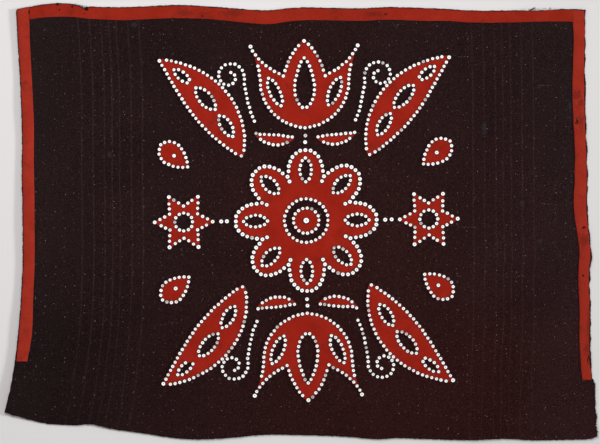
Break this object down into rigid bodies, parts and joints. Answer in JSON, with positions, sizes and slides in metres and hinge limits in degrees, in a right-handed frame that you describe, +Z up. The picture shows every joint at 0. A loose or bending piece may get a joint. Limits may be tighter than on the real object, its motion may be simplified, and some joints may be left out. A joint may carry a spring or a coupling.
{
  "type": "button blanket",
  "caption": "Dark wool blanket lying flat, with a red wool border on its top and sides and a sewn red wool flower design edged with pearl buttons.",
  "frame": {"origin": "on the surface that the blanket lies on, under the middle of its bounding box", "axes": "+X to the right side of the blanket seen face on, +Y to its top border, +Z up out of its face"},
  "size_m": [1.7512, 1.2949, 0.0121],
  "materials": {
    "dark_wool": "matt dark brownish black wool blanket cloth, lightly napped",
    "red_wool": "matt red wool, lightly felted",
    "pearl": "white mother-of-pearl shirt buttons, soft sheen"
  },
  "bodies": {
    "root": {"border_left": "red_wool", "border_right": "red_wool", "border_top": "red_wool", "button_disc": "pearl", "button_drop_bottom_left": "pearl", "button_drop_bottom_right": "pearl", "button_drop_top_left": "pearl", "button_drop_top_right": "pearl", "button_leaf_bottom_left": "pearl", "button_leaf_bottom_right": "pearl", "button_leaf_top_left": "pearl", "button_leaf_top_right": "pearl", "button_petal_1": "pearl", "button_petal_2": "pearl", "button_petal_3": "pearl", "button_petal_4": "pearl", "button_petal_5": "pearl", "button_petal_6": "pearl", "button_petal_7": "pearl", "button_petal_8": "pearl", "button_star_left_1": "pearl", "button_star_left_2": "pearl", "button_star_left_3": "pearl", "button_star_left_4": "pearl", "button_star_left_5": "pearl", "button_star_left_6": "pearl", "button_star_right_1": "pearl", "button_star_right_2": "pearl", "button_star_right_3": "pearl", "button_star_right_4": "pearl", "button_star_right_5": "pearl", "button_star_right_6": "pearl", "button_tulip_bottom_left": "pearl", "button_tulip_bottom_mid": "pearl", "button_tulip_bottom_right": "pearl", "button_tulip_top_left": "pearl", "button_tulip_top_mid": "pearl", "button_tulip_top_right": "pearl", "drop_bottom_left": "red_wool", "drop_bottom_right": "red_wool", "drop_top_left": "red_wool", "drop_top_right": "red_wool", "flower": "red_wool", "flower_disc": "red_wool", "ground_cloth": "dark_wool", "leaf_bottom_left": "red_wool", "leaf_bottom_right": "red_wool", "leaf_top_left": "red_wool", "leaf_top_right": "red_wool", "leaflet_bottom_left": "red_wool", "leaflet_bottom_right": "red_wool", "leaflet_top_left": "red_wool", "leaflet_top_right": "red_wool", "star_left": "red_wool", "star_right": "red_wool", "tulip_bottom": "red_wool", "tulip_top": "red_wool"}
  },
  "joints": []
}
